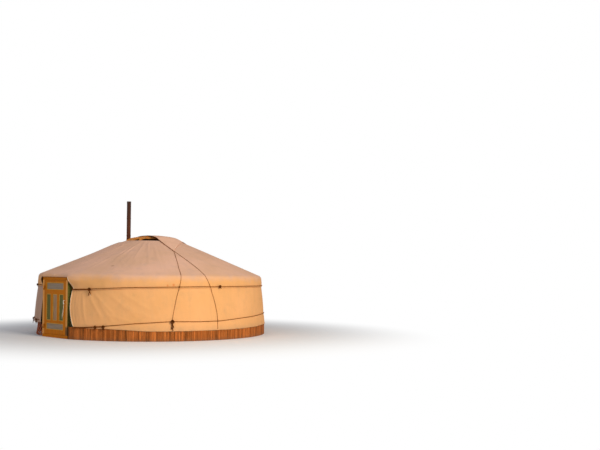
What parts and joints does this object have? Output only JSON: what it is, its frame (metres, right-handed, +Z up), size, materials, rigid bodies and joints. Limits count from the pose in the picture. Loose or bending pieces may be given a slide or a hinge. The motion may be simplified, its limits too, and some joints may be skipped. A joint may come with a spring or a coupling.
{
  "type": "yurt",
  "caption": "Round yurt with lattice wall, felt and canvas cover, conical roof on poles, domed wooden crown, flap, stove pipe, reed skirt and one hinged panelled door.",
  "frame": {"origin": "on the ground at the axis of the round house", "axes": "+Z up, the door faces -Y, +X is to the right of someone who faces the same way as +Y"},
  "size_m": [6.1197, 6.0813, 3.53],
  "materials": {
    "wall_canvas": "warm cream cotton canvas, plain weave",
    "roof_canvas": "cream cotton canvas, weathered",
    "flap_canvas": "cream cotton canvas, folded double",
    "felt": "pressed wool felt",
    "lattice_wood": "red-orange paint on willow laths, worn",
    "pole_wood": "orange paint, worn",
    "crown_wood": "orange paint, weathered",
    "column_wood": "red-orange paint",
    "frame_wood": "ochre paint, worn at the edges",
    "jamb_wood": "pale ochre paint",
    "leaf_wood": "ochre paint, brushed",
    "grey_paint": "pale grey-blue paint on board",
    "lilac_paint": "grey-lilac paint on board",
    "green_paint": "green paint on board",
    "reed": "reddish brown reeds and slats",
    "rusty_steel": "rust brown sheet steel, matt",
    "plate_steel": "dull grey sheet steel",
    "rope": "dark horsehair rope",
    "hinge_iron": "dark iron",
    "handle_metal": "bright handle"
  },
  "bodies": {
    "house": {"door_threshold": "frame_wood", "door_jamb_left": "jamb_wood", "door_jamb_right": "jamb_wood", "door_lintel": "frame_wood", "lattice_wall_1": "lattice_wood", "lattice_wall_2": "lattice_wood", "lattice_wall_3": "lattice_wood", "lattice_wall_4": "lattice_wood", "lattice_wall_5": "lattice_wood", "wall_felt_1": "felt", "wall_felt_2": "felt", "wall_felt_3": "felt", "wall_felt_4": "felt", "wall_felt_5": "felt", "wall_canvas": "wall_canvas", "base_skirt_1": "reed", "base_skirt_2": "reed", "base_skirt_3": "reed", "base_skirt_4": "reed", "roof_poles_1": "pole_wood", "roof_poles_2": "pole_wood", "roof_poles_3": "pole_wood", "roof_poles_4": "pole_wood", "roof_poles_5": "pole_wood", "crown_rim": "crown_wood", "crown_spokes": "crown_wood", "roof_felt_1": "felt", "roof_felt_2": "felt", "roof_felt_3": "felt", "roof_felt_4": "felt", "roof_canvas": "roof_canvas", "crown_flap": "flap_canvas", "pipe_plate": "plate_steel", "stove_pipe": "rusty_steel", "column_left": "column_wood", "column_right": "column_wood", "upper_rope": "rope", "lower_rope": "rope", "flap_ropes": "rope", "hinge_pins": "hinge_iron"},
    "door_leaf": {"leaf_frame": "leaf_wood", "top_panel": "grey_paint", "bottom_panel": "grey_paint", "centre_panel": "lilac_paint", "side_panels": "green_paint", "leaf_hinges": "hinge_iron", "door_handle": "handle_metal"}
  },
  "joints": [
    {"name": "door_hinge", "type": "hinge", "parent": "house", "child": "door_leaf", "pos_m": [-0.472, -2.9953, 0.74], "axis": [0, 0, -1], "range_deg": [0, 105]}
  ]
}
